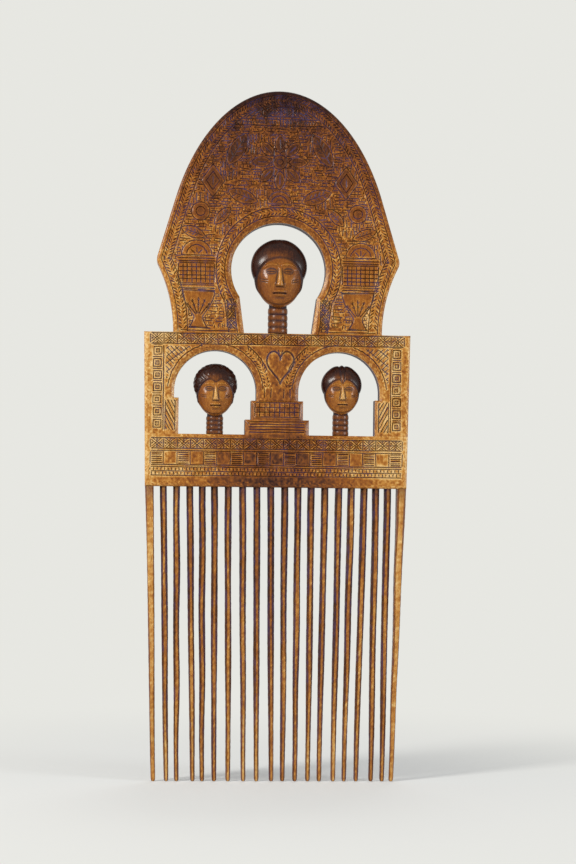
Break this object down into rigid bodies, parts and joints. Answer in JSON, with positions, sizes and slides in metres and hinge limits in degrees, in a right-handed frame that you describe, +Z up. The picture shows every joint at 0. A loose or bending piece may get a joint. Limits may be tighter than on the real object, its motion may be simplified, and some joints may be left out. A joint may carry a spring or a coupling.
{
  "type": "afro pick",
  "caption": "Long-toothed wooden hair pick with a solid tooth bar, an arcaded panel and a domed crest; carved busts stand in the open windows.",
  "frame": {"origin": "centre of the tooth bar's flat back face", "axes": "+Z up along the comb from the teeth to the crest, +Y out of the back face, +X to the right seen from the front"},
  "size_m": [0.1334, 0.0198, 0.345],
  "materials": {
    "crest_wood": "waxed, dark reddish brown, with darker cuts",
    "panel_wood": "waxed, golden brown at the edges",
    "head_wood": "hand polished, dark brown",
    "tooth_wood": "whittled and worn smooth",
    "guard_wood": "worn smooth, golden"
  },
  "bodies": {
    "root": {"crest_board": "crest_wood", "arcade_panel": "panel_wood", "stepped_pedestal": "panel_wood", "tooth_bar": "panel_wood", "centre_head": "head_wood", "left_head": "head_wood", "right_head": "head_wood", "left_guard_tooth": "guard_wood", "right_guard_tooth": "guard_wood", "tooth_01": "tooth_wood", "tooth_02": "tooth_wood", "tooth_03": "tooth_wood", "tooth_04": "tooth_wood", "tooth_05": "tooth_wood", "tooth_06": "tooth_wood", "tooth_07": "tooth_wood", "tooth_08": "tooth_wood", "tooth_09": "tooth_wood", "tooth_10": "tooth_wood", "tooth_11": "tooth_wood", "tooth_12": "tooth_wood", "tooth_13": "tooth_wood", "tooth_14": "tooth_wood", "tooth_15": "tooth_wood", "tooth_16": "tooth_wood", "tooth_17": "tooth_wood", "tooth_18": "tooth_wood"}
  },
  "joints": []
}
